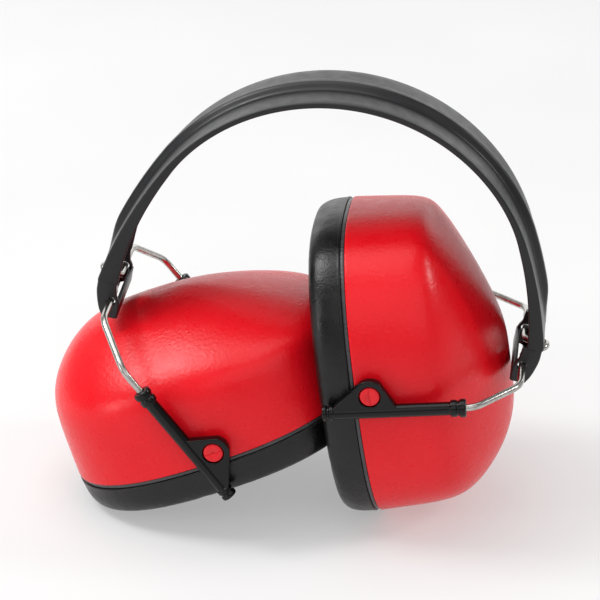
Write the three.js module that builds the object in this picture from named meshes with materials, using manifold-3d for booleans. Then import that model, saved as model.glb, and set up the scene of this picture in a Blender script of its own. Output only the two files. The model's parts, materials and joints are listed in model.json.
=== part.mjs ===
// Folding earmuff hearing protector, lying folded on a surface.
// Millimetres, +Z up, -Y to the front, +X from the left cup to the right one.
// The origin is under the middle of the whole object's box, on the surface it lies on.
//
// The headband is the root. Each wire yoke hinges in one band end, two slider arms ride on
// the yoke's legs, and the cup swings on two studs in the arms' ears.
import * as THREE from 'three';
import { mergeVertices } from 'three/addons/utils/BufferGeometryUtils.js';
import Module from 'manifold-3d';

const wasm = await Module();
wasm.setup();

// ---------------------------------------------------------------- driving dimensions
const BAND = {
  lean: 10.5,                 // degrees that the arch leans when the muff lies folded
  halfWidth: 16,
  wall: 1.9,                  // thickness of the outer wall at the crown
  flange: 2.0,                // thickness of the two side walls
  crownRadius: 68.5, crownHeight: 6.4, crownHalfAngle: 62.5, sideRadius: 147,
  depthGain: 4.4, depthAngle: 78, depthPower: 7,
  ribHeight: 2.0, ribFoot: 2.9, ribCrest: 1.0,
};
const HINGE = {               // axes of the wire crossbars, from the middle of the arch
  left: { x: -69.5, z: -10.3, legAngle: -41.05, slide: 22.9, cupAngle: 32.3 },
  right: { x: 67.4, z: -2.1, legAngle: 195.84, slide: 16.6, cupAngle: 108.3 },
};
const WIRE = { radius: 1.15, clearance: 0.45, crossbar: 30.8, shoulder: 13.95, legY: 46, end: 53,
  kinkOut: 7.4, kinkTop: 2.2, kinkFoot: 4.6, bend: 2.6 };
const ARM = { length: 46.5, radius: 2.2, bore: 1.55, boreDepth: 42 };
// Radius and distance from the mouth, round the ringed collar and the ringed tip.
const ARM_COLLAR = [[2.6, 0], [3.0, 0.4], [3.0, 2.0], [2.5, 2.3], [2.5, 2.9], [2.8, 3.2], [2.8, 4.9]];
const ARM_TIP = [[2.6, 42.9], [2.6, 44.1], [2.2, 44.4], [2.2, 44.9], [2.6, 45.2], [2.6, 46.2],
  [2.2, ARM.length]];
const EAR = { along: 30.6, up: 5.8, radius: 5.5, from: 21.5, to: 45, inner: 44.6, outer: 47.8,
  arcFrom: 62, arcTo: 128 };
const STUD = { headRadius: 3.2, headHole: 3.55, headDepth: 3.3, shank: 2.1, shankHole: 2.5,
  barb: 2.8, barbAt: 8.7, length: 10.4 };
const CUP = {                 // outline at the rim: half length, half width and squareness
  halfLength: 52, halfWidth: 43.2, power: 2.48, centre: -5.9, rim: -5.1,
  height: 47.1, wall: 2.6,
  draft: 0.031, knee: 27, kneeSharpness: 12,         // walls up to the knee
  sideReach: 42.8, sideClosing: 0.62,                // roof above the knee
  bottomReach: 39.7, bottomClosing: 0.41,
  crown: -18, crownDrift: 3, crownSquareness: 2.26,
  slopeStart: 90.4, slopeAngle: 30.2, slopeRound: 5, topPower: 6.4,
  bossRadius: 3.2, bossHeight: 44.3,
};
const SEAT = { thickness: 1.2, inset: 0.6, gap: 0.15 };
const CUSHION = { ring: 14, faceAt: -17.6, roundness: 2.2, skin: 1.2 };
const LINER = { from: -2.6, to: 12, scale: 0.8 };

const OUTLINE_STEPS = 44;     // stations round a cup outline
const ARCH_STEPS = 44;        // stations along the arch

const rad = THREE.MathUtils.degToRad;

// ---------------------------------------------------------------- solids
function toSolid(geometry) {
  const bare = geometry.clone();
  bare.deleteAttribute('normal');
  bare.deleteAttribute('uv');
  const merged = mergeVertices(bare, 1e-4);
  const index = merged.index.array;
  const triangles = [];
  for (let i = 0; i < index.length; i += 3) {
    const [a, b, c] = [index[i], index[i + 1], index[i + 2]];
    if (a !== b && b !== c && c !== a) triangles.push(a, b, c);
  }
  const make = (list) => new wasm.Manifold(new wasm.Mesh({
    numProp: 3,
    vertProperties: new Float32Array(merged.attributes.position.array),
    triVerts: new Uint32Array(list),
  }));
  const made = make(triangles);
  return made.volume() > 0 ? made : make(triangles.reverse());
}

function toGeometry(solid) {
  const mesh = solid.getMesh();
  const geometry = new THREE.BufferGeometry();
  geometry.setAttribute('position', new THREE.BufferAttribute(mesh.vertProperties, 3));
  geometry.setIndex(new THREE.BufferAttribute(mesh.triVerts, 1));
  geometry.computeVertexNormals();
  return geometry;
}

function cylinderY(radius, from, to, x, z, sides = 16) {
  const geometry = new THREE.CylinderGeometry(radius, radius, to - from, sides);
  geometry.translate(x, (from + to) / 2, z);
  return toSolid(geometry);
}

function boxBetween(x0, x1, y0, y1, z0, z1) {
  const geometry = new THREE.BoxGeometry(x1 - x0, y1 - y0, z1 - z0);
  geometry.translate((x0 + x1) / 2, (y0 + y1) / 2, (z0 + z1) / 2);
  return toSolid(geometry);
}

// A side view in x and z, pushed through from one y to another.
function plateXZ(points, from, to) {
  const shape = new THREE.Shape(points.map(([x, z]) => new THREE.Vector2(x, z)));
  const geometry = new THREE.ExtrudeGeometry(shape, { depth: to - from, bevelEnabled: false });
  geometry.rotateX(Math.PI / 2);
  geometry.translate(0, to, 0);
  return toSolid(geometry);
}

// One closed skin laid over a lathe's grid: place(row, angle) gives each point.
function skinOver(rows, place) {
  const profile = rows.map((row, i) => new THREE.Vector2(1, i));
  const geometry = new THREE.LatheGeometry(profile, OUTLINE_STEPS);
  const position = geometry.attributes.position;
  for (let column = 0; column <= OUTLINE_STEPS; column++) {
    const angle = (2 * Math.PI * (column % OUTLINE_STEPS)) / OUTLINE_STEPS;
    rows.forEach((row, i) => {
      const [x, y, z] = place(row, angle);
      position.setXYZ(column * rows.length + i, x, y, z);
    });
  }
  return toSolid(geometry);
}

// ---------------------------------------------------------------- headband
// The outer line of the arch is a crown arc with a flatter arc down each side.
function archPoint(angle, inward) {
  const turn = rad(Math.abs(angle));
  const corner = rad(BAND.crownHalfAngle);
  let [cx, cz, radius] = [0, BAND.crownHeight, BAND.crownRadius];
  if (turn > corner) {
    cx += (BAND.crownRadius - BAND.sideRadius) * Math.sin(corner);
    cz += (BAND.crownRadius - BAND.sideRadius) * Math.cos(corner);
    radius = BAND.sideRadius;
  }
  const x = cx + (radius - inward) * Math.sin(turn);
  return [Math.sign(angle) * x || 0, cz + (radius - inward) * Math.cos(turn)];
}

// The side walls deepen from the crown towards the band's ends.
function sideDepth(angle) {
  return BAND.wall + BAND.depthGain * (Math.abs(angle) / BAND.depthAngle) ** BAND.depthPower;
}

// Angle of the arch's normal at a height above the middle, on the side arc.
function archAngleAt(z) {
  const drop = (BAND.sideRadius - BAND.crownRadius) * Math.cos(rad(BAND.crownHalfAngle));
  return THREE.MathUtils.radToDeg(Math.acos((z - BAND.crownHeight + drop) / BAND.sideRadius));
}

// Outline of a leaf-shaped band end, as outward and upward distances from the wire's axis.
const LEAF_OUTER = [[5.3, 6], [5.2, 3], [4.6, 0], [3.6, -3.2], [2.2, -5.9]];
const LEAF_INNER = [[-2.6, -5.9], [-3.0, -3.2], [-2.6, 0.2], [-1.5, 2.2], [-1.1, 6]];
const KEEPER = { outer: -1.6, inner: -3.0, top: -0.4, bottom: -5.9 };
const SLOT = { inner: 1.6, outer: 12, bottom: -1.3, top: 8.9, halfWidth: 6.4 };
const RIB_END = { full: 24, none: 8.9, root: 0.5 };   // heights above the wire's axis
const LEAF_TOP = 8;               // height above the wire's axis where the arch begins
const HOLLOW_FOOT = [-12, -5.9];  // where the cut under the outer wall ends, clear of the band
const HOLLOW_REACH = 16;
const SPAN_Y = 20;                // well past the band's side walls

// Evenly spaced angles along the arch, from one height on the left to one on the right,
// both measured up from the wires' axes.
function archAngles(up) {
  const from = -archAngleAt(HINGE.left.z + up);
  const to = archAngleAt(HINGE.right.z + up);
  return Array.from({ length: ARCH_STEPS + 1 }, (_, i) => from + ((to - from) * i) / ARCH_STEPS);
}

// A layer of the rib: its foot lies inside the wall and its ends taper out.
function ribLayer(lift, halfWidth) {
  const crest = archAngles(RIB_END.full);
  const tips = [-archAngleAt(HINGE.left.z + RIB_END.none), archAngleAt(HINGE.right.z + RIB_END.none)];
  const points = [
    archPoint(tips[0], RIB_END.root),
    ...crest.map((a) => archPoint(a, -lift)),
    archPoint(tips[1], RIB_END.root),
    ...crest.map((a) => archPoint(a, RIB_END.root)).reverse(),
  ];
  return plateXZ(points, -halfWidth, halfWidth);
}

function headband() {
  const left = (points) => points.map(([out, up]) => [HINGE.left.x - out, HINGE.left.z + up]).reverse();
  const right = (points) => points.map(([out, up]) => [HINGE.right.x + out, HINGE.right.z + up]);
  const angles = archAngles(LEAF_TOP);
  const along = (inward) => angles.map((a) => archPoint(a, inward(a)));

  const outer = [...left(LEAF_OUTER), ...along(() => 0), ...right(LEAF_OUTER)];
  const inner = [...left(LEAF_INNER).reverse(), ...along(sideDepth), ...right(LEAF_INNER).reverse()];
  let band = plateXZ([...outer, ...inner.reverse()], -BAND.halfWidth, BAND.halfWidth);

  // Hollow between the side walls, under the outer wall.
  const shrink = ([out, up]) => [out - BAND.wall, up];
  const under = [
    ...left(LEAF_OUTER.map(shrink)),
    ...along(() => BAND.wall),
    ...right(LEAF_OUTER.map(shrink)),
  ];
  const below = [...left([HOLLOW_FOOT]), ...along(() => HOLLOW_REACH), ...right([HOLLOW_FOOT])];
  const hollowHalf = BAND.halfWidth - BAND.flange;
  band = band.subtract(plateXZ([...under, ...below.reverse()], -hollowHalf, hollowHalf));

  // Rib along the middle of the outer face, in three layers.
  const { ribHeight, ribFoot, ribCrest } = BAND;
  const layers = [[0.45, ribFoot], [0.8, (ribFoot + ribCrest) / 2], [1, ribCrest]];
  for (const [share, halfWidth] of layers) {
    band = band.add(ribLayer(ribHeight * share, halfWidth));
  }

  for (const [side, sign] of [[HINGE.left, -1], [HINGE.right, 1]]) {
    const span = (a, b) => [side.x + sign * a, side.x + sign * b].sort((p, q) => p - q);
    const keeper = boxBetween(...span(KEEPER.inner, KEEPER.outer), -BAND.halfWidth, BAND.halfWidth,
      side.z + KEEPER.bottom, side.z + KEEPER.top);
    const slot = boxBetween(...span(SLOT.inner, SLOT.outer), -SLOT.halfWidth, SLOT.halfWidth,
      side.z + SLOT.bottom, side.z + SLOT.top);
    const hole = cylinderY(WIRE.radius + WIRE.clearance, -SPAN_Y, SPAN_Y, side.x, side.z, 14);
    band = band.add(keeper).subtract(slot).subtract(hole);
  }
  return band;
}

// ---------------------------------------------------------------- wire yoke
// A bent wire as a curve whose parameter runs evenly from station to station.
class BentWire extends THREE.Curve {
  constructor(stations) {
    super();
    this.stations = stations;
  }

  getPoint(t) {
    const last = this.stations.length - 1;
    const i = Math.min(Math.floor(t * last), last - 1);
    return this.stations[i].clone().lerp(this.stations[i + 1], t * last - i);
  }

  getPointAt(t) {
    return this.getPoint(t);
  }

  getTangentAt(t) {
    return this.getTangent(t);
  }
}

// Corners rounded by short curves.
function roundedPath(corners, reach, steps) {
  const stations = [corners[0]];
  for (let i = 1; i < corners.length - 1; i++) {
    const [before, corner, after] = [corners[i - 1], corners[i], corners[i + 1]];
    const near = Math.min(reach, before.distanceTo(corner) * 0.45, corner.distanceTo(after) * 0.45);
    const start = corner.clone().add(before.clone().sub(corner).setLength(near));
    const end = corner.clone().add(after.clone().sub(corner).setLength(near));
    stations.push(...new THREE.QuadraticBezierCurve3(start, corner, end).getPoints(steps));
  }
  stations.push(corners[corners.length - 1]);
  return stations;
}

function wireYoke() {
  const half = [[-WIRE.kinkOut, WIRE.kinkTop], [0, WIRE.kinkFoot], [0, WIRE.crossbar],
    [WIRE.shoulder, WIRE.legY], [WIRE.end, WIRE.legY]];
  const corners = [...half.map(([u, y]) => new THREE.Vector3(u, -y, 0)).reverse(),
    ...half.map(([u, y]) => new THREE.Vector3(u, y, 0))];
  const stations = roundedPath(corners, WIRE.bend, 4);
  const section = new THREE.Shape().absarc(0, 0, WIRE.radius, 0, 2 * Math.PI);
  return toSolid(new THREE.ExtrudeGeometry(section, {
    extrudePath: new BentWire(stations),
    steps: stations.length - 1,
    curveSegments: 5,
    bevelEnabled: false,
  }));
}

// ---------------------------------------------------------------- slider arm and stud
// A tube that slides on one leg of the yoke, with ringed ends and a triangular ear.
function sliderArm(side) {
  const profile = [
    [0, ARM.boreDepth], [ARM.bore, ARM.boreDepth], [ARM.bore, 0],
    ...ARM_COLLAR, [ARM.radius, 5.3], [ARM.radius, 42.6], ...ARM_TIP, [0, ARM.length],
  ];
  const tube = new THREE.LatheGeometry(profile.map(([r, s]) => new THREE.Vector2(r, s)), 14);
  tube.rotateZ(-Math.PI / 2);
  tube.translate(0, side * WIRE.legY, 0);

  const foot = ARM.bore + 0.15;
  const ear = new THREE.Shape();
  ear.moveTo(EAR.from, foot);
  ear.lineTo(EAR.to, foot);
  ear.absarc(EAR.along, EAR.up, EAR.radius, rad(EAR.arcFrom), rad(EAR.arcTo));
  ear.closePath();
  ear.holes.push(new THREE.Path().absarc(EAR.along, EAR.up, STUD.headHole, 0, 2 * Math.PI));
  const plate = new THREE.ExtrudeGeometry(ear, {
    depth: EAR.outer - EAR.inner,
    bevelEnabled: false,
    curveSegments: 8,
  });
  plate.rotateX(Math.PI / 2);
  plate.translate(0, side > 0 ? EAR.outer : -EAR.inner, 0);
  return toSolid(tube).add(toSolid(plate));
}

// A push-in stud: flush round head, shank and barbed tip inside the cup.
function stud(side) {
  const profile = [[0, 0], [2.9, 0], [STUD.headRadius, 0.3], [STUD.headRadius, STUD.headDepth],
    [STUD.shank, STUD.headDepth], [STUD.shank, STUD.barbAt], [STUD.barb, STUD.barbAt],
    [STUD.shank - 0.3, STUD.length], [0, STUD.length]];
  const geometry = new THREE.LatheGeometry(profile.map(([r, s]) => new THREE.Vector2(r, EAR.outer - s)), 16);
  if (side < 0) geometry.rotateX(Math.PI);
  return toSolid(geometry);
}

// ---------------------------------------------------------------- cup
// A point of a rounded-square oval whose two ends may differ in length.
function ovalPoint(angle, centre, toTop, toBottom, halfWidth, power) {
  const [c, s] = [Math.cos(angle), Math.sin(angle)];
  const along = Math.abs(c) ** (2 / power);
  const across = Math.sign(s) * Math.abs(s) ** (2 / power);
  return [centre + (c >= 0 ? toTop : -toBottom) * along, halfWidth * across];
}

const smallerOf = (a, b, round) => 0.5 * (a + b - Math.hypot(a - b, round));

// Reach of the dome at a height: a drafted wall up to the knee, then a roof closing to the crown.
function wallThenRoof(height, foot, reach, closing) {
  const sharp = CUP.kneeSharpness;
  const joined = (h) => {
    const wall = foot - CUP.draft * h;
    const roof = reach * (Math.max(CUP.height - h, 1e-9) / (CUP.height - CUP.knee)) ** closing;
    return (wall ** -sharp + roof ** -sharp) ** (-1 / sharp);
  };
  return joined(height) + (foot - joined(0)) * (1 - height / CUP.height) ** 3;
}

// The dome at a height above the rim: steep walls, one long slope towards the top end.
function domePoint(height, angle) {
  const part = Math.min(height / CUP.height, 1);
  const reach = CUP.halfLength + CUP.centre - CUP.crown;
  const slope = (h) => CUP.slopeStart - CUP.crown - h / Math.tan(rad(CUP.slopeAngle));
  const wallTop = (h) => smallerOf(reach - CUP.draft * h, slope(h), CUP.slopeRound);
  const closing = Math.max(1 - part ** CUP.topPower, 0) ** (1 / CUP.topPower);
  const top = CUP.crown + (wallTop(height) + (reach - wallTop(0)) * (1 - part) ** 2) * closing;
  const foot = CUP.halfLength - CUP.centre + CUP.crown;
  const bottom = CUP.crown - wallThenRoof(height, foot, CUP.bottomReach, CUP.bottomClosing);
  const drift = CUP.centre + (CUP.crown - CUP.centre) * part ** CUP.crownDrift;
  const centre = THREE.MathUtils.clamp(drift, bottom, top);
  const power = THREE.MathUtils.lerp(CUP.power, CUP.crownSquareness, part);
  const halfWidth = wallThenRoof(height, CUP.halfWidth, CUP.sideReach, CUP.sideClosing);
  const [x, y] = ovalPoint(angle, centre, top - centre, centre - bottom, halfWidth, power);
  return [x, y, CUP.rim + height];
}

function cupShell() {
  const levels = (count, inside) => Array.from({ length: count + 1 }, (_, i) => (
    { level: Math.sin((i / count) * (Math.PI / 2)), inside }));
  const thin = (size) => (size - CUP.wall) / size;
  const rows = [...levels(14, false).reverse(), ...levels(9, true)];
  let shell = skinOver(rows, ({ level, inside }, angle) => {
    const [x, y, z] = domePoint(level * CUP.height, angle);
    if (!inside) return [x, y, z];
    return [CUP.centre + (x - CUP.centre) * thin(CUP.halfLength), y * thin(CUP.halfWidth),
      CUP.rim + (z - CUP.rim) * thin(CUP.height)];
  });
  for (const side of [-1, 1]) {
    const span = (a, b) => [side * a, side * b].sort((p, q) => p - q);
    shell = shell.add(cylinderY(CUP.bossRadius, ...span(CUP.halfWidth - 1.8, CUP.bossHeight), 0, 0));
    shell = shell.subtract(cylinderY(STUD.shankHole, ...span(30, 50), 0, 0));
  }
  return shell;
}

// A ring round the cup opening: each section point is an inset from the rim outline and a height.
function ring(section) {
  return skinOver([...section, section[0]], ([inset, height], angle) => {
    const [x, y] = ovalPoint(angle, CUP.centre, CUP.halfLength - inset, CUP.halfLength - inset,
      CUP.halfWidth - inset, CUP.power);
    return [x, y, height];
  });
}

const seatTop = CUP.rim - SEAT.gap;
const seatBottom = seatTop - SEAT.thickness;
const cushionBack = seatBottom - SEAT.gap;

function seatRing() {
  const inside = CUSHION.ring + 0.6;
  return ring([[SEAT.inset, seatTop], [inside, seatTop], [inside, seatBottom], [SEAT.inset, seatBottom]]);
}

// Rounded section of the cushion, shrunk evenly by an inset, as a list of ring points.
function cushionArc(inset, steps) {
  const half = CUSHION.ring / 2 - inset;
  const height = cushionBack - CUSHION.faceAt - inset;
  return Array.from({ length: steps + 1 }, (_, i) => {
    const across = -Math.cos((Math.PI * i) / steps);
    const down = Math.max(1 - Math.abs(across) ** CUSHION.roundness, 0) ** (1 / CUSHION.roundness);
    return [CUSHION.ring / 2 + half * across, cushionBack - height * down];
  });
}

// The cushion's skin is a channel, open towards the seat, round a ring of foam.
function cushionSkin() {
  const hollow = cushionArc(CUSHION.skin, 6).reverse();
  return ring([...cushionArc(0, 10), ...hollow]);
}

function cushionFoam() {
  return ring(cushionArc(CUSHION.skin + 0.45, 6).map(([inset, height]) => [inset, height - 0.05]));
}

function foamLiner() {
  const { from, to } = LINER;
  const rows = [[0, from], [0.5, from], [1, from], [1, to * 0.6], [0.86, to], [0, to]];
  return skinOver(rows, ([share, height], angle) => {
    const scale = LINER.scale * share;
    const [x, y] = ovalPoint(angle, CUP.centre, CUP.halfLength * scale, CUP.halfLength * scale,
      CUP.halfWidth * scale, CUP.power);
    return [x, y, height];
  });
}

// ---------------------------------------------------------------- materials
const finish = (color, roughness, metalness = 0) => (
  () => new THREE.MeshStandardMaterial({ color, roughness, metalness }));
const MATERIALS = {
  bandPlastic: finish(0x2b2b2d, 0.42),
  wireSteel: finish(0xc9c8c4, 0.25, 1),
  armPlastic: finish(0x141415, 0.22),
  cupRed: finish(0xd8202c, 0.38),
  seatPlastic: finish(0x4a4a4c, 0.5),
  cushionVinyl: finish(0x29292b, 0.5),
  cushionFoam: finish(0x4b4b4b, 0.95),
  linerFoam: finish(0x303032, 0.95),
};

function addMesh(parent, name, solid, material) {
  const mesh = new THREE.Mesh(toGeometry(solid), material());
  mesh.name = name;
  parent.add(mesh);
}

// ---------------------------------------------------------------- assembly
// A frame whose local X points at an angle in the XZ plane. The right-hand parts are the
// left-hand ones turned half round, so that their local Z points the same way as on the left.
function turnTo(group, angle, halfTurn) {
  if (halfTurn) group.rotation.set(0, rad(180 - angle), Math.PI);
  else group.rotation.set(0, -rad(angle), 0);
}

const assembly = new THREE.Group();
const arch = new THREE.Group();
arch.rotation.y = rad(BAND.lean);
assembly.add(arch);
addMesh(arch, 'headband', headband(), MATERIALS.bandPlastic);

for (const [name, hinge] of Object.entries(HINGE)) {
  const halfTurn = name === 'right';
  const yoke = new THREE.Group();
  yoke.position.set(hinge.x, 0, hinge.z);
  turnTo(yoke, hinge.legAngle, halfTurn);
  arch.add(yoke);
  addMesh(yoke, `${name}_yoke_wire`, wireYoke(), MATERIALS.wireSteel);

  const arms = new THREE.Group();
  arms.position.x = hinge.slide;
  yoke.add(arms);

  const pivot = new THREE.Vector3(hinge.slide + EAR.along, 0, EAR.up);
  pivot.applyEuler(yoke.rotation).add(yoke.position);
  const cup = new THREE.Group();
  cup.position.copy(pivot);
  turnTo(cup, hinge.cupAngle, halfTurn);
  arch.add(cup);

  for (const side of [-1, 1]) {
    const end = (side < 0) !== halfTurn ? 'front' : 'rear';
    addMesh(arms, `${name}_slider_arm_${end}`, sliderArm(side), MATERIALS.armPlastic);
    addMesh(cup, `${name}_pivot_stud_${end}`, stud(side), MATERIALS.cupRed);
  }
  addMesh(cup, `${name}_cup_shell`, cupShell(), MATERIALS.cupRed);
  addMesh(cup, `${name}_cushion_seat`, seatRing(), MATERIALS.seatPlastic);
  addMesh(cup, `${name}_cushion_skin`, cushionSkin(), MATERIALS.cushionVinyl);
  addMesh(cup, `${name}_cushion_foam`, cushionFoam(), MATERIALS.cushionFoam);
  addMesh(cup, `${name}_foam_liner`, foamLiner(), MATERIALS.linerFoam);
}

// The surface is at z = 0, under the middle of the whole object.
assembly.updateMatrixWorld(true);
const bounds = new THREE.Box3().setFromObject(assembly, true);
const middle = bounds.getCenter(new THREE.Vector3());
assembly.position.set(-middle.x, -middle.y, -bounds.min.z);

export default assembly;
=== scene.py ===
"""Looks for the folding earmuff hearing protector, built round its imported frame.

Lengths are millimetres in each part's own local frame, and MM turns them into metres:
the headband has the arch frame, each yoke and its arms have a leg frame, and each cup,
its studs and its cushion have a cup frame.
"""
import json
import math

import bmesh
import bpy
import numpy as np
from mathutils import Matrix, Vector


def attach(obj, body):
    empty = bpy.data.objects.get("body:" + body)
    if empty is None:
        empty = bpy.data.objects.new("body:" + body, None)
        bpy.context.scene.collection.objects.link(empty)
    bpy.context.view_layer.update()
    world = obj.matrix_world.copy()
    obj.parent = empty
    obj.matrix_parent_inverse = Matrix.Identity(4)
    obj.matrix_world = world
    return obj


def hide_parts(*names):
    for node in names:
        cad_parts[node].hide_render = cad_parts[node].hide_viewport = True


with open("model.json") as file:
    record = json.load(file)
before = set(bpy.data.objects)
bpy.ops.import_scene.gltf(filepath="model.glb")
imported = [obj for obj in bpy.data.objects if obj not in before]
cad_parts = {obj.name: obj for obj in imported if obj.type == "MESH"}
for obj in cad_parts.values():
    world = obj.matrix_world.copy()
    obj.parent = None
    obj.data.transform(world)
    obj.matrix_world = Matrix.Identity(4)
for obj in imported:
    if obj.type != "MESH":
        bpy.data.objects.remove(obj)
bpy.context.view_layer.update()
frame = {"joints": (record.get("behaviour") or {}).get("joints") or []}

MM = 0.001

# ---------------------------------------------------------------- driving dimensions
LEAN = 10.5                     # degrees that the folded arch leans
SIDES = {                       # directions in the row's XZ plane, in degrees
    "left": {"leg": -41.05 - LEAN, "cup": 32.3 - LEAN, "half_turn": False},
    "right": {"leg": 195.84 - LEAN, "cup": 108.3 - LEAN, "half_turn": True},
}
HINGE = {"left": (-69.5, -10.3), "right": (67.4, -2.1)}   # wire axes in the arch frame
BAND = {
    "half_width": 16.0, "wall": 1.9, "flange": 2.0,
    "crown_radius": 68.5, "crown_height": 6.4, "crown_half_angle": 62.5, "side_radius": 147.0,
    "depth_gain": 4.4, "depth_angle": 78.0, "depth_power": 7,
    "rib_height": 2.2, "rib_foot": 3.7, "rib_crest": 0.9, "edge": 0.55,
}
LEAF_TOP = 8.0
# Outward distance at the outer wall, outward distance at the inner edge and height.
LEAF = [
    ((5.3, 6.0), (-1.1, 6.0)), ((5.2, 3.0), (-1.5, 2.4)), ((4.6, 0.0), (-2.6, 0.2)),
    ((3.6, -3.2), (-3.0, -3.2)), ((2.2, -5.9), (-2.6, -5.9)),
]
KEEPER = {"outer": -1.6, "inner": -3.0, "top": -0.4, "bottom": -5.9}
SLOT = {"inner": 1.6, "outer": 12.0, "bottom": -1.3, "top": 8.9, "half_width": 6.4}
RIB_END = {"full": 24.0, "none": 8.9}
WIRE = {
    "radius": 1.15, "clearance": 0.45, "crossbar": 30.8, "shoulder": 13.95, "leg_y": 46.0,
    "end": 53.0, "kink_out": 7.4, "kink_top": 2.2, "kink_foot": 4.6, "bend": 3.4,
}
ARM = {"length": 46.5, "radius": 2.2, "bore": 1.55, "bore_depth": 42.0}
ARM_COLLAR = [                  # (radius, distance from the mouth) of the ring at the mouth
    (2.6, 0), (3.0, 0.4), (3.0, 2.0), (2.45, 2.3), (2.45, 2.9), (2.8, 3.2), (2.8, 4.9),
]
ARM_TIP = [(2.6, 42.9), (2.6, 44.1), (2.15, 44.4), (2.15, 44.9), (2.6, 45.2), (2.6, 46.2)]
EAR = {
    "along": 30.6, "up": 5.8, "radius": 5.5, "from": 22.0, "to": 44.0, "foot": 1.25,
    "inner": 44.6, "outer": 47.8, "arc_from": 62, "arc_to": 128, "edge": 0.35,
}
STUD = {"head_radius": 3.2, "head_hole": 3.55, "head_depth": 3.3, "shank": 2.1, "length": 10.4}
CUP = {
    "half_length": 52.0, "half_width": 43.2, "power": 2.48, "centre": -5.9, "rim": -5.1,
    "height": 47.1, "wall": 2.6, "draft": 0.031, "knee": 27.0, "knee_sharpness": 12,
    "side_reach": 42.8, "side_closing": 0.62, "bottom_reach": 39.7, "bottom_closing": 0.41,
    "crown": -18.0, "crown_drift": 3.0, "crown_squareness": 2.26,
    "slope_start": 90.4, "slope_angle": 30.2, "slope_round": 5.0, "top_power": 6.4,
    "boss_radius": 3.2, "boss_height": 44.3,
}
SEAT = {"top": -5.25, "bottom": -6.45, "inset": 0.6, "ring": 14.6, "ribs": 192}
CUSHION = {"ring": 14.0, "back": -6.6, "face": -17.6, "roundness": 3.0}
LINER = {"from": -2.6, "scale": 0.8}
CLOTH = {                       # simulation of the cushion's skin
    "rows": 30, "seeded": 0.03, "frames": 16, "most_move": 0.8, "eased_rows": 9,
    "quality": 6, "mass": 0.2, "stretch": 50, "shear": 20, "bending": 1.5,
    "shrink": -0.004, "pressure": 0.05,
}
OUTLINE_POINTS = 256            # round a cup
DOME_ROWS = 72                  # from its rim to its crown
FLOOR_GAP = 0.05                # between a cushion and the floor it rests on

FLOOR_SIZE = 3.0                # metres from the middle to an edge
TARGET = Vector((-0.00039, 0, 0.07023))     # metres; what the camera and the lights face
CAMERA = {"azimuth": 6.0, "elevation": 24.0, "distance": 1.027, "lens": 184.9}
LIGHTS = {                      # azimuth, elevation, distance, width, height and radiance
    "key": (-100, 82, 1.25, 1.3, 1.0, 1.8),
    "left_high": (-86, 50, 1.2, 0.45, 0.5, 10.0),
    "left_low": (-58, 12, 1.2, 0.28, 0.5, 5.0),
    "front": (16, 36, 1.6, 1.8, 1.2, 0.8),
    "strip": (99, 31, 1.1, 0.12, 0.3, 18),
    "rear": (-176, 17, 1.7, 2.8, 0.9, 1.2),
}
WORLD_LIGHT = 0.36

joint_place = {j["name"]: Vector(j["pos_m"]) for j in frame["joints"] if "pos_m" in j}


# ---------------------------------------------------------------- local frames
def turn_y(degrees):
    """A turn about the Y axis."""
    return Matrix.Rotation(math.radians(degrees), 4, "Y")


def local_frame(place, angle, half_turn):
    """Local millimetres to the row's metres: local X points at an angle in the XZ plane."""
    if half_turn:
        turn = turn_y(180 - angle) @ Matrix.Rotation(math.pi, 4, "Z")
    else:
        turn = turn_y(-angle)
    return Matrix.Translation(place) @ turn @ Matrix.Scale(MM, 4)


def arch_frame():
    """The leaning arch's local millimetres to the row's metres, from the left wire's axis."""
    x, z = HINGE["left"]
    turn = turn_y(LEAN)
    centre = joint_place["left_yoke_fold"] - turn @ (Vector((x, 0, z)) * MM)
    return Matrix.Translation(centre) @ turn @ Matrix.Scale(MM, 4)


# ---------------------------------------------------------------- mesh helpers
def new_object(name, verts, faces, matrix, sharp=38):
    """A mesh object in the row frame from points in a local frame."""
    points = np.asarray(verts, float).reshape(-1, 3)
    turn = np.array(matrix)
    points = points @ turn[:3, :3].T + turn[:3, 3]
    mesh = bpy.data.meshes.new(name)
    mesh.from_pydata(points.tolist(), [], faces)
    shape = bmesh.new()
    shape.from_mesh(mesh)
    bmesh.ops.remove_doubles(shape, verts=shape.verts, dist=1e-6)
    bmesh.ops.recalc_face_normals(shape, faces=shape.faces)
    shape.to_mesh(mesh)
    shape.free()
    mesh.shade_smooth()
    mesh.set_sharp_from_angle(angle=math.radians(sharp))
    piece = bpy.data.objects.new(name, mesh)
    bpy.context.scene.collection.objects.link(piece)
    return piece


def grid_faces(rows, columns, close_rows=False, close_columns=False):
    """Quads over points numbered row by row."""
    faces = []
    for i in range(rows if close_rows else rows - 1):
        for j in range(columns if close_columns else columns - 1):
            a, b = i * columns, (i + 1) % rows * columns
            k = (j + 1) % columns
            faces.append((a + j, a + k, b + k, b + j))
    return faces


def lathe(profile, segments):
    """Points and faces of a profile of (radius, height) turned round the local Y axis."""
    points = []
    for radius, height in profile:
        for k in range(segments):
            turn = 2 * math.pi * k / segments
            points.append((radius * math.cos(turn), height, radius * math.sin(turn)))
    return points, grid_faces(len(profile), segments, close_columns=True)


def rounded(profile, reach=0.25, steps=3):
    """An open profile with its corners rounded."""
    out = [profile[0]]
    for before, corner, after in zip(profile, profile[1:], profile[2:]):
        p, c, q = (Vector(v) for v in (before, corner, after))
        near = min(reach, (p - c).length * 0.45, (q - c).length * 0.45)
        start, end = c + (p - c).normalized() * near, c + (q - c).normalized() * near
        for k in range(steps + 1):
            t = k / steps
            out.append(tuple(start * (1 - t) ** 2 + c * 2 * t * (1 - t) + end * t * t))
    out.append(profile[-1])
    return out


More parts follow.
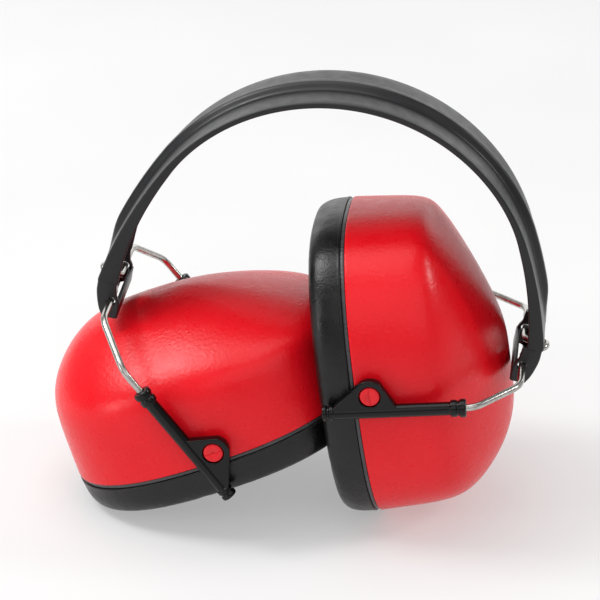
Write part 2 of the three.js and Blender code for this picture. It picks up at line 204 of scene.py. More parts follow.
def joined(name, pieces):
    """One object from several."""
    bpy.ops.object.select_all(action="DESELECT")
    for piece in pieces:
        piece.select_set(True)
    bpy.context.view_layer.objects.active = pieces[0]
    bpy.ops.object.join()
    pieces[0].name = pieces[0].data.name = name
    return pieces[0]


def settle(piece):
    """Puts a piece's modifiers into its mesh."""
    bpy.context.view_layer.update()
    graph = bpy.context.evaluated_depsgraph_get()
    mesh = bpy.data.meshes.new_from_object(piece.evaluated_get(graph))
    piece.modifiers.clear()
    piece.data = mesh
    return piece


def cut(piece, cutters):
    """Takes the cutters out of a piece and removes them."""
    for cutter in cutters:
        change = piece.modifiers.new("cut", "BOOLEAN")
        change.operation = "DIFFERENCE"
        change.solver = "EXACT"
        change.object = cutter
    settle(piece)
    for cutter in cutters:
        bpy.data.objects.remove(cutter)
    return piece


def soften_edges(piece, width, segments, angle=40):
    """Bevels the edges that are sharper than an angle."""
    change = piece.modifiers.new("edges", "BEVEL")
    change.width = width * MM
    change.segments = segments
    change.limit_method = "ANGLE"
    change.angle_limit = math.radians(angle)
    settle(piece)
    piece.data.shade_smooth()
    piece.data.set_sharp_from_angle(angle=math.radians(50))
    return piece


def rounded_box(name, low, high, matrix, radius):
    """A box between two corners, with rounded edges."""
    corners = [(x, y, z) for x in (low[0], high[0]) for y in (low[1], high[1])
               for z in (low[2], high[2])]
    faces = [(0, 1, 3, 2), (4, 6, 7, 5), (0, 4, 5, 1), (2, 3, 7, 6), (0, 2, 6, 4), (1, 5, 7, 3)]
    return soften_edges(new_object(name, corners, faces, matrix), radius, 4)


# ---------------------------------------------------------------- headband
def arch_point(angle, inward):
    """A point of the arch, some way in from its outer face; the angle is taken from the top."""
    turn = math.radians(abs(angle))
    corner = math.radians(BAND["crown_half_angle"])
    x, z, radius = 0.0, BAND["crown_height"], BAND["crown_radius"]
    if turn > corner:
        step = BAND["crown_radius"] - BAND["side_radius"]
        x, z, radius = x + step * math.sin(corner), z + step * math.cos(corner), BAND["side_radius"]
    x += (radius - inward) * math.sin(turn)
    return (math.copysign(x, angle), z + (radius - inward) * math.cos(turn))


def arch_angle_at(z):
    """Where the arch's outer face comes down to a height."""
    corner = math.radians(BAND["crown_half_angle"])
    drop = (BAND["side_radius"] - BAND["crown_radius"]) * math.cos(corner)
    return math.degrees(math.acos((z - BAND["crown_height"] + drop) / BAND["side_radius"]))


def side_depth(angle):
    """Depth of the band's side walls, which grows towards the ends."""
    share = abs(angle) / BAND["depth_angle"]
    return BAND["wall"] + BAND["depth_gain"] * share ** BAND["depth_power"]


def smooth_line(knots, steps):
    """A Catmull-Rom line through rows of numbers."""
    knots = np.asarray(knots, float)
    padded = np.vstack([2 * knots[0] - knots[1], knots, 2 * knots[-1] - knots[-2]])
    out = []
    for a, b, c, d in zip(padded, padded[1:], padded[2:], padded[3:]):
        for k in range(steps):
            t = k / steps
            out.append(0.5 * (2 * b + (c - a) * t + (2 * a - 5 * b + 4 * c - d) * t ** 2
                              + (3 * b - a - 3 * c + d) * t ** 3))
    out.append(knots[-1])
    return np.array(out)


def band_stations():
    """Outer point and inner edge of the side walls, from the left end over to the right end."""
    def leaf(side, sign):
        x, z = HINGE[side]
        return [(x + sign * a, z + b, x + sign * c, z + d) for (a, b), (c, d) in LEAF]

    first = -arch_angle_at(HINGE["left"][1] + LEAF_TOP)
    last = arch_angle_at(HINGE["right"][1] + LEAF_TOP)
    arch = [(*arch_point(a, 0), *arch_point(a, side_depth(a)))
            for a in np.linspace(first, last, 45)]
    return smooth_line([*leaf("left", -1)[::-1], *arch, *leaf("right", 1)], 5)


def band_section(depth, rib):
    """The section's outside and inside as equal lists of (y, depth below the outer face)."""
    half, wall, edge = BAND["half_width"], BAND["wall"], BAND["edge"]
    inside = half - BAND["flange"]
    lip = max(depth - 0.35, wall)
    arc = [math.radians(a) for a in (0, 22, 45, 68, 90)]

    outer = [(half - 1.0, depth)]
    outer += [(half - edge + edge * math.sin(a), depth - edge + edge * math.cos(a)) for a in arc]
    outer += [(half - edge + edge * math.cos(a), edge - edge * math.sin(a)) for a in arc]
    outer += [(y, 0.0) for y in (13.0, 10.0, 7.0, 5.0)]
    span = BAND["rib_foot"] - BAND["rib_crest"]
    for y in np.linspace(BAND["rib_foot"], 0, 14):
        t = min(max((BAND["rib_foot"] - y) / span, 0), 1)
        outer.append((y, -rib * BAND["rib_height"] * t * t * (3 - 2 * t)))

    count = len(outer)
    flange = [(inside + 0.35, max(depth, wall)), (inside + 0.1, max(depth - 0.1, wall)),
              (inside, lip), (inside, (lip + wall) / 2), (inside - 0.15, wall)]
    inner = flange + [(y, wall) for y in np.linspace(inside - 1, 0, count - len(flange))]

    def mirrored(path):
        return path + [(-y, d) for y, d in path[-2::-1]]

    return mirrored(outer), mirrored(inner)


def headband(matrix):
    """The swept band with a slot and a wire hole at each end, and a keeper across each slot."""
    stations = band_stations()
    low = {-1: HINGE["left"][1], 1: HINGE["right"][1]}
    rows = []
    for ox, oz, ix, iz in stations:
        outer, inner = Vector((ox, 0, oz)), Vector((ix, 0, iz))
        depth = max((inner - outer).length, BAND["wall"])
        into = (inner - outer).normalized()
        up = oz - low[-1 if ox < 0 else 1]
        rib = min(max((up - RIB_END["none"]) / (RIB_END["full"] - RIB_END["none"]), 0), 1)
        outside, hollow = band_section(depth, rib * rib * (3 - 2 * rib))
        ring = [outer + into * d + Vector((0, y, 0)) for y, d in outside + hollow[::-1]]
        rows.append([tuple(p) for p in ring])
    width = len(rows[0])
    faces = grid_faces(len(rows), width, close_columns=True)
    for row in (0, len(rows) - 1):
        start = row * width
        for k in range(width // 2 - 1):
            a, b = start + k, start + width - 1 - k
            faces.append((a, a + 1, b - 1, b))
    band = new_object("headband_shell", [p for row in rows for p in row], faces, matrix)

    cutters, keepers = [], []
    for side, sign in (("left", -1), ("right", 1)):
        x, z = HINGE[side]

        def span(a, b):
            return sorted((x + sign * a, x + sign * b))

        x0, x1 = span(SLOT["inner"], SLOT["outer"])
        cutters.append(rounded_box(
            f"slot_{side}", (x0, -SLOT["half_width"], z + SLOT["bottom"]),
            (x1, SLOT["half_width"], z + SLOT["top"]), matrix, 1.2))
        bore, reach = WIRE["radius"] + WIRE["clearance"], BAND["half_width"] + 4
        points, turns = lathe([(0, -reach), (bore, -reach), (bore, reach), (0, reach)], 32)
        hole = matrix @ Matrix.Translation((x, 0, z))
        cutters.append(new_object(f"hole_{side}", points, turns, hole))
        x0, x1 = span(KEEPER["inner"], KEEPER["outer"])
        keepers.append(rounded_box(
            f"keeper_{side}", (x0, 0.15 - BAND["half_width"], z + KEEPER["bottom"]),
            (x1, BAND["half_width"] - 0.15, z + KEEPER["top"]), matrix, 0.3))
    cut(band, cutters)
    soften_edges(band, 0.22, 2, 55)
    return joined("headband_shell", [band, *keepers])


# ---------------------------------------------------------------- wire, arm and stud
def tube(name, stations, radius, matrix, segments=24):
    """A round wire swept along a list of points without twisting."""
    stations = [Vector(p) for p in stations]
    rows, side = [], None
    for i, point in enumerate(stations):
        ahead = (stations[min(i + 1, len(stations) - 1)] - stations[max(i - 1, 0)]).normalized()
        if side is None:
            side = ahead.orthogonal().normalized()
        side = (side - ahead * side.dot(ahead)).normalized()
        other = ahead.cross(side)
        for k in range(segments):
            turn = 2 * math.pi * k / segments
            rows.append(point + (side * math.cos(turn) + other * math.sin(turn)) * radius)
    faces = grid_faces(len(stations), segments, close_columns=True)
    for row in (0, len(stations) - 1):
        faces.append(tuple(row * segments + k for k in range(segments)))
    return new_object(name, [tuple(p) for p in rows], faces, matrix, sharp=60)


def yoke_wire(name, matrix):
    """The bent wire: a crossbar with a kink in its middle, two shoulders and two legs."""
    half = [(-WIRE["kink_out"], WIRE["kink_top"]), (0, WIRE["kink_foot"]), (0, WIRE["crossbar"]),
            (WIRE["shoulder"], WIRE["leg_y"]), (WIRE["end"], WIRE["leg_y"])]
    corners = [(u, -y) for u, y in half[::-1]] + half
    line = rounded(corners, WIRE["bend"], 10)
    return tube(name, [(u, y, 0) for u, y in line], WIRE["radius"], matrix)


def ear_plate(name, side, matrix):
    """The arm's triangular ear, with a hole for the stud's head."""
    # The outline's foot lies inside the sleeve, clear of the wire that slides there.
    outline = [(EAR["from"], EAR["foot"])]
    for k in range(17):
        turn = math.radians(EAR["arc_to"] + (EAR["arc_from"] - EAR["arc_to"]) * k / 16)
        outline.append((EAR["along"] + EAR["radius"] * math.cos(turn),
                        EAR["up"] + EAR["radius"] * math.sin(turn)))
    outline.append((EAR["to"], EAR["foot"]))
    hole = [(EAR["along"] + STUD["head_hole"] * math.cos(2 * math.pi * k / 48),
             EAR["up"] + STUD["head_hole"] * math.sin(2 * math.pi * k / 48)) for k in range(48)]
    shape = bpy.data.curves.new(f"{name}_ear", "CURVE")
    shape.dimensions = "2D"
    shape.fill_mode = "BOTH"
    shape.extrude = (EAR["outer"] - EAR["inner"]) / 2 - EAR["edge"]
    shape.bevel_depth = EAR["edge"]
    shape.bevel_resolution = 3
    shape.offset = -EAR["edge"]
    for path in (outline, hole):
        line = shape.splines.new("POLY")
        line.points.add(len(path) - 1)
        for point, (x, z) in zip(line.points, path):
            point.co = (x, z, 0, 1)
        line.use_cyclic_u = True
    flat = bpy.data.objects.new(f"{name}_ear", shape)
    bpy.context.scene.collection.objects.link(flat)
    mesh = bpy.data.meshes.new_from_object(
        flat.evaluated_get(bpy.context.evaluated_depsgraph_get()))
    bpy.data.objects.remove(flat)
    middle = side * (EAR["inner"] + EAR["outer"]) / 2
    stand = Matrix.Translation((0, middle, 0)) @ Matrix.Rotation(math.pi / 2, 4, "X")
    mesh.transform(matrix @ stand)
    mesh.shade_smooth()
    mesh.set_sharp_from_angle(angle=math.radians(40))
    plate = bpy.data.objects.new(f"{name}_plate", mesh)
    bpy.context.scene.collection.objects.link(plate)
    return plate


def slider_arm(name, side, matrix):
    """A bored tube that slides on a leg of the wire, with its ear."""
    profile = [
        (0, ARM["bore_depth"]), (ARM["bore"], ARM["bore_depth"]), (ARM["bore"], 0), *ARM_COLLAR,
        (ARM["radius"], 5.3), (ARM["radius"], 42.6), *ARM_TIP, (2.2, ARM["length"]),
        (0, ARM["length"]),
    ]
    points, faces = lathe(rounded(profile, 0.22), 48)
    lying = matrix @ Matrix.Translation((0, side * WIRE["leg_y"], 0))
    lying = lying @ Matrix.Rotation(-math.pi / 2, 4, "Z")
    sleeve = new_object(f"{name}_sleeve", points, faces, lying, sharp=50)
    return joined(name, [sleeve, ear_plate(name, side, matrix)])


def pivot_stud(name, side, matrix):
    """A push-in stud with a fine parting line across its head."""
    profile = [
        (0, 0.02), (2.6, 0), (STUD["head_radius"], 0.25),
        (STUD["head_radius"], STUD["head_depth"]), (STUD["shank"], STUD["head_depth"]),
        (STUD["shank"], STUD["length"]), (0, STUD["length"]),
    ]
    line = rounded(profile, 0.3)
    points, faces = lathe([(r, side * (EAR["outer"] - h)) for r, h in line], 64)
    head = new_object(name, points, faces, matrix)
    face = side * EAR["outer"]
    low, high = sorted((face - side * 0.22, face + side * 1.0))
    groove = rounded_box("groove", (-2.75, low, -0.14), (2.75, high, 0.14), matrix, 0.05)
    return cut(head, [groove])


# ---------------------------------------------------------------- cup
def oval_point(angle, centre, to_top, to_bottom, half_width, power):
    """A point of a squared oval whose two ends may lie at different distances."""
    c, s = math.cos(angle), math.sin(angle)
    along = abs(c) ** (2 / power)
    across = math.copysign(abs(s) ** (2 / power), s)
    return centre + (to_top if c >= 0 else -to_bottom) * along, half_width * across


def rim_point(angle, inset, height):
    """A point at a height, an inset in from the rim's outline."""
    x, y = oval_point(angle, CUP["centre"], CUP["half_length"] - inset,
                      CUP["half_length"] - inset, CUP["half_width"] - inset, CUP["power"])
    return x, y, height


def wall_then_roof(height, foot, reach, closing):
    """Reach of the dome at a height: a drafted wall up to the knee, then a roof to the crown."""
    sharp = CUP["knee_sharpness"]

    def at(h):
        wall = foot - CUP["draft"] * h
        roof = reach * (max(CUP["height"] - h, 1e-9) / (CUP["height"] - CUP["knee"])) ** closing
        return (wall ** -sharp + roof ** -sharp) ** (-1 / sharp)

    return at(height) + (foot - at(0)) * (1 - height / CUP["height"]) ** 3


def dome_point(height, angle):
    """A point of the dome: its top side slopes off, its bottom and sides curve to the crown."""
    part = min(height / CUP["height"], 1)

    def slope(h):
        return CUP["slope_start"] - CUP["crown"] - h / math.tan(math.radians(CUP["slope_angle"]))

    def wall_top(h):
        a, b = reach - CUP["draft"] * h, slope(h)
        return 0.5 * (a + b - math.hypot(a - b, CUP["slope_round"]))

    reach = CUP["half_length"] + CUP["centre"] - CUP["crown"]
    swell = (reach - wall_top(0)) * (1 - part) ** 2
    closing = max(1 - part ** CUP["top_power"], 0) ** (1 / CUP["top_power"])
    top = CUP["crown"] + (wall_top(height) + swell) * closing
    foot = CUP["half_length"] - CUP["centre"] + CUP["crown"]
    bottom = CUP["crown"] - wall_then_roof(height, foot, CUP["bottom_reach"], CUP["bottom_closing"])
    centre = CUP["centre"] + (CUP["crown"] - CUP["centre"]) * part ** CUP["crown_drift"]
    centre = min(max(centre, bottom), top)
    power = CUP["power"] + (CUP["crown_squareness"] - CUP["power"]) * part
    half_width = wall_then_roof(height, CUP["half_width"], CUP["side_reach"], CUP["side_closing"])
    x, y = oval_point(angle, centre, top - centre, centre - bottom, half_width, power)
    return x, y, CUP["rim"] + height


def even_angles(count):
    """Angles that space points evenly round the rim outline."""
    fine = np.linspace(0, 2 * math.pi, 4001)
    line = np.array([oval_point(a, 0, CUP["half_length"], CUP["half_length"], CUP["half_width"],
                                CUP["power"]) for a in fine])
    run = np.concatenate([[0], np.cumsum(np.hypot(*np.diff(line, axis=0).T))])
    return np.interp(np.linspace(0, run[-1], count, endpoint=False), run, fine)


AROUND = even_angles(OUTLINE_POINTS)


def cup_shell(name, matrix):
    """The hollow dome, from its crown over the rim to the inside, with a boss for each stud."""
    levels = [math.sin(math.pi / 2 * i / DOME_ROWS) for i in range(DOME_ROWS + 1)]
    lip = 0.35
    rows = []
    for level in levels[::-1]:
        rows.append([dome_point(level * CUP["height"], a) for a in AROUND])
    rows[-1] = [dome_point(lip, a) for a in AROUND]
    for inset, height in ((0.1, CUP["rim"] + 0.1), (lip, CUP["rim"]),
                          (CUP["wall"] - lip, CUP["rim"])):
        rows.append([rim_point(a, inset, height) for a in AROUND])

    def thin(size):
        return (size - CUP["wall"]) / size

    for level in levels[1::3]:
        rows.append([(CUP["centre"] + (x - CUP["centre"]) * thin(CUP["half_length"]),
                      y * thin(CUP["half_width"]),
                      CUP["rim"] + (z - CUP["rim"]) * thin(CUP["height"]))
                     for x, y, z in (dome_point(level * CUP["height"], a) for a in AROUND)])
    faces = grid_faces(len(rows), len(AROUND), close_columns=True)
    last = (len(rows) - 1) * len(AROUND)
    faces.append(tuple(last + k for k in range(len(AROUND))))
    shell = new_object(name, [p for row in rows for p in row], faces, matrix, sharp=55)

    bosses = []
    for side in (-1, 1):
        profile = [(0, CUP["boss_height"]), (CUP["boss_radius"], CUP["boss_height"]),
                   (CUP["boss_radius"], CUP["half_width"] - 0.5),
                   (CUP["boss_radius"] + 1.2, CUP["half_width"] - 1.8)]
        points, turns = lathe([(r, side * h) for r, h in rounded(profile, 0.3)], 48)
        bosses.append(new_object(f"{name}_boss", points, turns, matrix))
    return joined(name, [shell, *bosses])


def ring(name, section, matrix, angles=AROUND):
    """A closed ring round the cup's opening; section points are (inset, height, rib depth)."""
    rib = (0, 1, 1, 0)
    points = [rim_point(a, inset + depth * rib[k % len(rib)], height)
              for inset, height, depth in section for k, a in enumerate(angles)]
    faces = grid_faces(len(section), len(angles), close_rows=True, close_columns=True)
    return new_object(name, points, faces, matrix, sharp=40)


def cushion_seat(name, matrix):
    """The ring that carries the cushion, with fine ribs moulded round its outer edge."""
    top, bottom, inset = SEAT["top"], SEAT["bottom"], SEAT["inset"]
    inner = SEAT["ring"]
    section = [
        (inset + 0.5, top, 0), (inset - 0.1, top - 0.05, 0.03), (inset - 0.2, top - 0.3, 0.05),
        (inset - 0.2, bottom + 0.3, 0.05), (inset - 0.1, bottom + 0.05, 0.03),
        (inset + 0.5, bottom, 0), (inner - 0.3, bottom, 0), (inner, bottom + 0.3, 0),
        (inner, top - 0.3, 0), (inner - 0.3, top, 0),
    ]
    return ring(name, section, matrix, even_angles(4 * SEAT["ribs"]))


# ---------------------------------------------------------------- cushion
def cushion_line(steps):
    """Outer profile of the cushion's skin, from its outer weld to its inner weld."""
    half = CUSHION["ring"] / 2
    drop = CUSHION["back"] - CUSHION["face"]
    power = CUSHION["roundness"]
    line = []
    for i in range(steps + 1):
        across = -math.cos(math.pi * i / steps)
        down = max(1 - abs(across) ** power, 0) ** (1 / power)
        line.append((half + half * across, CUSHION["back"] - drop * down))
    return line


def ear_cushion(name, matrix, seed):
    """A vinyl skin held at its two welds and pressed out by the foam inside it."""
    line = cushion_line(CLOTH["rows"])
    rows, count = len(line), len(AROUND)
    points = [rim_point(a, inset, height) for inset, height in line for a in AROUND]
    skin = new_object(name, points, grid_faces(rows, count, close_columns=True), matrix)
    mesh = skin.data
    start = np.array([v.co for v in mesh.vertices])
    held = skin.vertex_groups.new(name="held")
    edge = [*range(0, count), *range((rows - 1) * count, rows * count)]
    held.add(edge, 1.0, "REPLACE")

    jitter = np.random.default_rng(seed).normal(0, CLOTH["seeded"] * MM, start.shape)
    for vertex, shift in zip(mesh.vertices, jitter):
        vertex.co += Vector(shift)
    cloth = skin.modifiers.new("cloth", "CLOTH")
    settings = cloth.settings
    settings.quality = CLOTH["quality"]
    settings.mass = CLOTH["mass"]
    settings.tension_stiffness = settings.compression_stiffness = CLOTH["stretch"]
    settings.shear_stiffness = CLOTH["shear"]
    settings.bending_stiffness = CLOTH["bending"]
    settings.shrink_min = settings.shrink_max = CLOTH["shrink"]
    settings.use_pressure = True
    settings.uniform_pressure_force = CLOTH["pressure"]
    settings.vertex_group_mass = "held"
    settings.effector_weights.gravity = 0
    cloth.collision_settings.use_collision = False
    cloth.point_cache.frame_start, cloth.point_cache.frame_end = 1, CLOTH["frames"]
    scene = bpy.context.scene
    for step in range(1, CLOTH["frames"] + 1):
        scene.frame_set(step)
    bpy.context.view_layer.update()
    graph = bpy.context.evaluated_depsgraph_get()
    moved = np.array([v.co for v in skin.evaluated_get(graph).data.vertices])
    skin.modifiers.clear()
    scene.frame_set(1)

    # The move levels off at its greatest size and fades out towards the two welds.
    shift = (moved - start).reshape(rows, count, 3)
    size = np.linalg.norm(shift, axis=2, keepdims=True)
    most = CLOTH["most_move"] * MM
    shift *= most * np.tanh(size / most) / np.maximum(size, 1e-9)
    from_weld = np.minimum(np.arange(rows), np.arange(rows)[::-1])
    ease = np.clip(from_weld / CLOTH["eased_rows"], 0, 1)
    shift *= (ease ** 2 * (3 - 2 * ease))[:, None, None]
    for vertex, place in zip(mesh.vertices, start + shift.reshape(-1, 3)):
        vertex.co = Vector(place)
    return skin


def close_cushion(skin, name, matrix):
    """Adds the weld flange round the outside, closes the back and rests the ring on the floor."""
    top, inner = CUSHION["back"], CUSHION["ring"] - 0.2
    flange = ring(f"{name}_flange", [
        (0.5, top + 0.1, 0), (0.1, top + 0.05, 0), (-0.1, top - 0.2, 0), (-0.1, top - 0.9, 0),
        (0.4, top - 1.2, 0), (3.0, top - 1.2, 0), (3.0, top + 0.1, 0)], matrix)
    back = ring(f"{name}_back", [
        (0.4, top + 0.05, 0), (inner, top + 0.05, 0), (inner, top - 0.6, 0),
        (0.4, top - 0.6, 0)], matrix)
    whole = joined(name, [skin, flange, back])
    floor = FLOOR_GAP * MM
    for vertex in whole.data.vertices:
        if vertex.co.z < floor:
            vertex.co.z = floor
    change = whole.modifiers.new("fine", "SUBSURF")
    change.levels = change.render_levels = 1
    settle(whole)
    whole.data.shade_smooth()
    return whole


def foam_liner(name, matrix):
    """A soft pad of foam, crowned and rounded over at its edge."""
    profile = [(0.0, 0.0), (0.5, 0.0), (0.9, 0.25), (0.985, 1.2), (1.0, 3.0), (1.0, 9.0),
               (0.97, 12.0), (0.9, 13.8), (0.6, 14.6), (0.0, 14.6)]
    rows = rounded(profile, 0.4, 2)
    points = []
    around = AROUND[::2]
    for share, up in rows:
        scale = LINER["scale"] * max(share, 0.001)
        for a in around:
            x, y = oval_point(a, CUP["centre"], CUP["half_length"] * scale,
                              CUP["half_length"] * scale, CUP["half_width"] * scale, CUP["power"])
            sag = 0.5 * math.cos(x / 6) * math.cos(y / 7) * (1 - share ** 4)
            points.append((x, y, LINER["from"] + up + sag * (1 if up < 7 else 0)))
    faces = grid_faces(len(rows), len(around), close_columns=True)
    return new_object(name, points, faces, matrix, sharp=60)


# ---------------------------------------------------------------- materials
def srgb(text):
    """Linear colour from a six-digit colour code."""
    parts = [int(text[i:i + 2], 16) / 255 for i in (0, 2, 4)]
    return [c / 12.92 if c <= 0.04045 else ((c + 0.055) / 1.055) ** 2.4 for c in parts] + [1]


class Material:
    """A principled material on object coordinates, in metres."""

    def __init__(self, name):
        self.material = bpy.data.materials.new(name)
        self.material.use_nodes = True
        self.nodes = self.material.node_tree.nodes
        self.links = self.material.node_tree.links
        self.shader = self.nodes["Principled BSDF"]
        self.place = self.nodes.new("ShaderNodeTexCoord").outputs["Object"]
        self.bump = None

    def set(self, **values):
        """Sets the shader's inputs to constants."""
        for key, value in values.items():
            self.shader.inputs[key.replace("_", " ")].default_value = value

    def noise(self, scale, detail, roughness=0.5):
        """A cloudy pattern from 0 to 1; the scale is in features per metre."""
        node = self.nodes.new("ShaderNodeTexNoise")
        node.inputs["Scale"].default_value = scale
        node.inputs["Detail"].default_value = detail
        node.inputs["Roughness"].default_value = roughness
        self.links.new(self.place, node.inputs["Vector"])
        return node.outputs["Fac"]

    def cells(self, scale):
        """Distance to the nearest of many scattered points."""
        node = self.nodes.new("ShaderNodeTexVoronoi")
        node.inputs["Scale"].default_value = scale
        self.links.new(self.place, node.inputs["Vector"])
        return node.outputs["Distance"]

    def ramp(self, source, stops):
        """Colour between two (position, colour) stops."""
        node = self.nodes.new("ShaderNodeValToRGB")
        for element, (place, colour) in zip(node.color_ramp.elements, stops):
            element.position = place
            element.color = colour
        self.links.new(source, node.inputs["Fac"])
        return node.outputs["Color"]

    def spread(self, source, low, high):
        """A pattern's middle range stretched from low to high."""
        node = self.nodes.new("ShaderNodeMapRange")
        node.inputs["From Min"].default_value = 0.3
        node.inputs["From Max"].default_value = 0.7
        node.inputs["To Min"].default_value = low
        node.inputs["To Max"].default_value = high
        self.links.new(source, node.inputs["Value"])
        return node.outputs["Result"]

    def colour(self, source):
        self.links.new(source, self.shader.inputs["Base Color"])

    def roughness(self, source):
        self.links.new(source, self.shader.inputs["Roughness"])

    def relief(self, source, depth, strength=1.0):
        """Adds a bump whose full height is depth, in millimetres."""
        node = self.nodes.new("ShaderNodeBump")
        node.inputs["Strength"].default_value = strength
        node.inputs["Distance"].default_value = depth * MM
        self.links.new(source, node.inputs["Height"])
        if self.bump:
            self.links.new(self.bump, node.inputs["Normal"])
        self.bump = node.outputs["Normal"]
        self.links.new(self.bump, self.shader.inputs["Normal"])


def worn(material, base, light, source):
    """Colour that varies a little from place to place."""
    return material.ramp(source, [(0.3, base), (0.7, light)])


def cup_material():
    m = Material("satin_red")
    m.set(Specular_IOR_Level=0.3)
    m.colour(worn(m, (0.75, 0.003, 0.010, 1), (0.81, 0.006, 0.014, 1), m.noise(38, 3)))
    m.roughness(m.spread(m.noise(220, 4), 0.25, 0.33))
    m.relief(m.noise(850, 2), 0.1)
    return m.material


def stud_material():
    m = Material("moulded_red")
    m.set(Specular_IOR_Level=0.35)
    m.colour(worn(m, (0.72, 0.006, 0.013, 1), (0.79, 0.010, 0.018, 1), m.noise(160, 3)))
    m.roughness(m.spread(m.noise(500, 3), 0.32, 0.42))
    m.relief(m.noise(2200, 2), 0.02)
    return m.material


def band_material():
    m = Material("satin_black")
    m.set(Specular_IOR_Level=0.4)
    m.colour(worn(m, srgb("141416"), srgb("1b1b1d"), m.noise(60, 4)))
    m.roughness(m.spread(m.noise(300, 4), 0.3, 0.4))
    m.relief(m.noise(2400, 3, 0.6), 0.018)
    m.relief(m.noise(90, 2), 0.04)
    return m.material


def arm_material():
    m = Material("gloss_black")
    m.set(Specular_IOR_Level=0.3)
    m.colour(worn(m, srgb("020202"), srgb("060607"), m.noise(120, 3)))
    m.roughness(m.spread(m.noise(420, 3), 0.1, 0.18))
    m.relief(m.noise(1500, 2), 0.012)
    return m.material


def wire_material():
    m = Material("bright_wire")
    m.set(Metallic=1.0)
    m.colour(worn(m, srgb("a19e99"), srgb("c6c4bf"), m.noise(500, 4)))
    m.roughness(m.spread(m.noise(900, 4), 0.18, 0.28))
    m.relief(m.noise(3200, 3), 0.003)
    return m.material


def seat_material():
    m = Material("moulded_grey")
    m.set(Specular_IOR_Level=0.5)
    m.colour(worn(m, srgb("343437"), srgb("4a4a4d"), m.noise(200, 3)))
    m.roughness(m.spread(m.noise(600, 3), 0.25, 0.35))
    m.relief(m.noise(2000, 2), 0.02)
    return m.material


def cushion_material():
    m = Material("soft_vinyl")
    m.set(Specular_IOR_Level=0.4)
    m.colour(worn(m, srgb("040405"), srgb("0a0a0b"), m.noise(80, 4)))
    m.roughness(m.spread(m.noise(240, 4), 0.26, 0.4))
    m.relief(m.cells(1500), 0.05, 0.8)
    m.relief(m.noise(420, 5, 0.65), 0.12)
    m.relief(m.noise(90, 3), 0.3)
    return m.material


def foam_material():
    m = Material("open_foam")
    m.set(Specular_IOR_Level=0.1)
    # The colour is darker in the pits of the cell bump: painted shade in the foam's pores.
    m.colour(m.ramp(m.cells(900), [(0.1, srgb("101011")), (0.6, srgb("38383a"))]))
    m.set(Roughness=0.95)
    m.relief(m.cells(900), 0.35)
    m.relief(m.noise(260, 4), 0.3)
    return m.material


def floor_material():
    m = Material("pale_floor")
    m.colour(worn(m, srgb("b4b4b4"), srgb("bababa"), m.noise(6, 2)))
    m.set(Roughness=0.9, Specular_IOR_Level=0.1)
    m.set(Emission_Color=(1, 1, 1, 1), Emission_Strength=WORLD_LIGHT)
    return m.material


def paint(piece, material, slot_name, body, *nodes):
    """Gives a piece its material and its body, and hides the nodes it stands for; the slot name is
    not used.
    """
    piece.data.materials.clear()
    piece.data.materials.append(material)
    for face in piece.data.polygons:
        face.material_index = 0
    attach(piece, body)
    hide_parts(*nodes)


# ---------------------------------------------------------------- the object
red, stud_red, black = cup_material(), stud_material(), band_material()
gloss, steel, grey = arm_material(), wire_material(), seat_material()
vinyl, foam = cushion_material(), foam_material()

paint(headband(arch_frame()), black, "band_plastic", "headband", "headband")

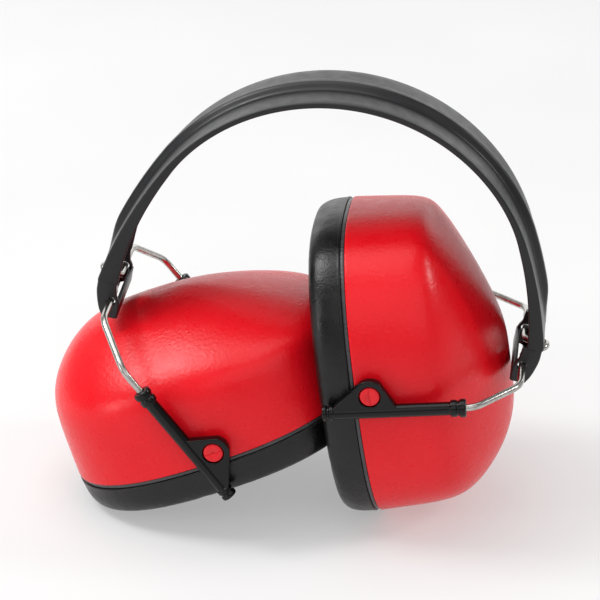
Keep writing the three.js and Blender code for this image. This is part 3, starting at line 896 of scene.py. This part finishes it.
for side_name, side in SIDES.items():
    hinge = joint_place[f"{side_name}_yoke_fold"]
    pivot = joint_place[f"{side_name}_cup_swing"]
    leg = local_frame(hinge, side["leg"], side["half_turn"])
    cup = local_frame(pivot, side["cup"], side["half_turn"])
    slide = (leg.inverted() @ pivot).x - EAR["along"]
    arms = leg @ Matrix.Translation((slide, 0, 0))

    paint(yoke_wire(f"{side_name}_wire", leg), steel, "yoke_wire", f"{side_name}_yoke",
          f"{side_name}_yoke_wire")
    for hand in (-1, 1):
        end = "front" if (hand < 0) != side["half_turn"] else "rear"
        paint(slider_arm(f"{side_name}_arm_{end}", hand, arms), gloss, "arm_plastic",
              f"{side_name}_arms", f"{side_name}_slider_arm_{end}")
        paint(pivot_stud(f"{side_name}_stud_{end}", hand, cup), stud_red, "cup_plastic",
              f"{side_name}_cup", f"{side_name}_pivot_stud_{end}")
    body = f"{side_name}_cup"
    paint(cup_shell(f"{side_name}_shell", cup), red, "cup_plastic", body, f"{side_name}_cup_shell")
    paint(cushion_seat(f"{side_name}_seat", cup), grey, "seat_plastic", body,
          f"{side_name}_cushion_seat")
    skin_piece = ear_cushion(f"{side_name}_cushion", cup, seed=len(side_name))
    skin_piece = close_cushion(skin_piece, f"{side_name}_cushion", cup)
    paint(skin_piece, vinyl, "cushion_vinyl", body, f"{side_name}_cushion_skin",
          f"{side_name}_cushion_foam")
    liner_piece = foam_liner(f"{side_name}_liner", cup)
    paint(liner_piece, foam, "liner_foam", body, f"{side_name}_foam_liner")


# ---------------------------------------------------------------- floor, light and camera
def studio_floor():
    size = FLOOR_SIZE
    mesh = bpy.data.meshes.new("floor")
    mesh.from_pydata([(-size, -size, 0), (size, -size, 0), (size, size, 0), (-size, size, 0)], [],
                     [(0, 1, 2, 3)])
    floor = bpy.data.objects.new("floor", mesh)
    floor.data.materials.append(floor_material())
    bpy.context.scene.collection.objects.link(floor)


def aim(thing, azimuth, elevation, distance):
    """Puts a light or a camera in the scene so that it faces the object from a direction."""
    a, e = math.radians(azimuth), math.radians(elevation)
    back = Vector((math.sin(a) * math.cos(e), -math.cos(a) * math.cos(e), math.sin(e)))
    thing.location = TARGET + back * distance
    thing.rotation_mode = "QUATERNION"
    thing.rotation_quaternion = (-back).to_track_quat("-Z", "Y")
    bpy.context.scene.collection.objects.link(thing)


def softbox(name, azimuth, elevation, distance, width, height, radiance):
    """A rectangular light that the camera doesn't see."""
    data = bpy.data.lights.new(name, "AREA")
    data.shape = "RECTANGLE"
    data.size, data.size_y = width, height
    data.energy = radiance * math.pi * width * height
    lamp = bpy.data.objects.new(name, data)
    lamp.visible_camera = False
    aim(lamp, azimuth, elevation, distance)


studio_floor()
for light_name, light in LIGHTS.items():
    softbox(light_name, *light)

world = bpy.data.worlds.new("studio")
world.use_nodes = True
world.node_tree.nodes["Background"].inputs["Color"].default_value = (1, 1, 1, 1)
world.node_tree.nodes["Background"].inputs["Strength"].default_value = WORLD_LIGHT
bpy.context.scene.world = world
bpy.context.scene.view_settings.view_transform = "Standard"

camera = bpy.data.objects.new("camera", bpy.data.cameras.new("camera"))
camera.data.sensor_width = 36
camera.data.lens = CAMERA["lens"]
aim(camera, CAMERA["azimuth"], CAMERA["elevation"], CAMERA["distance"])
bpy.context.scene.camera = camera
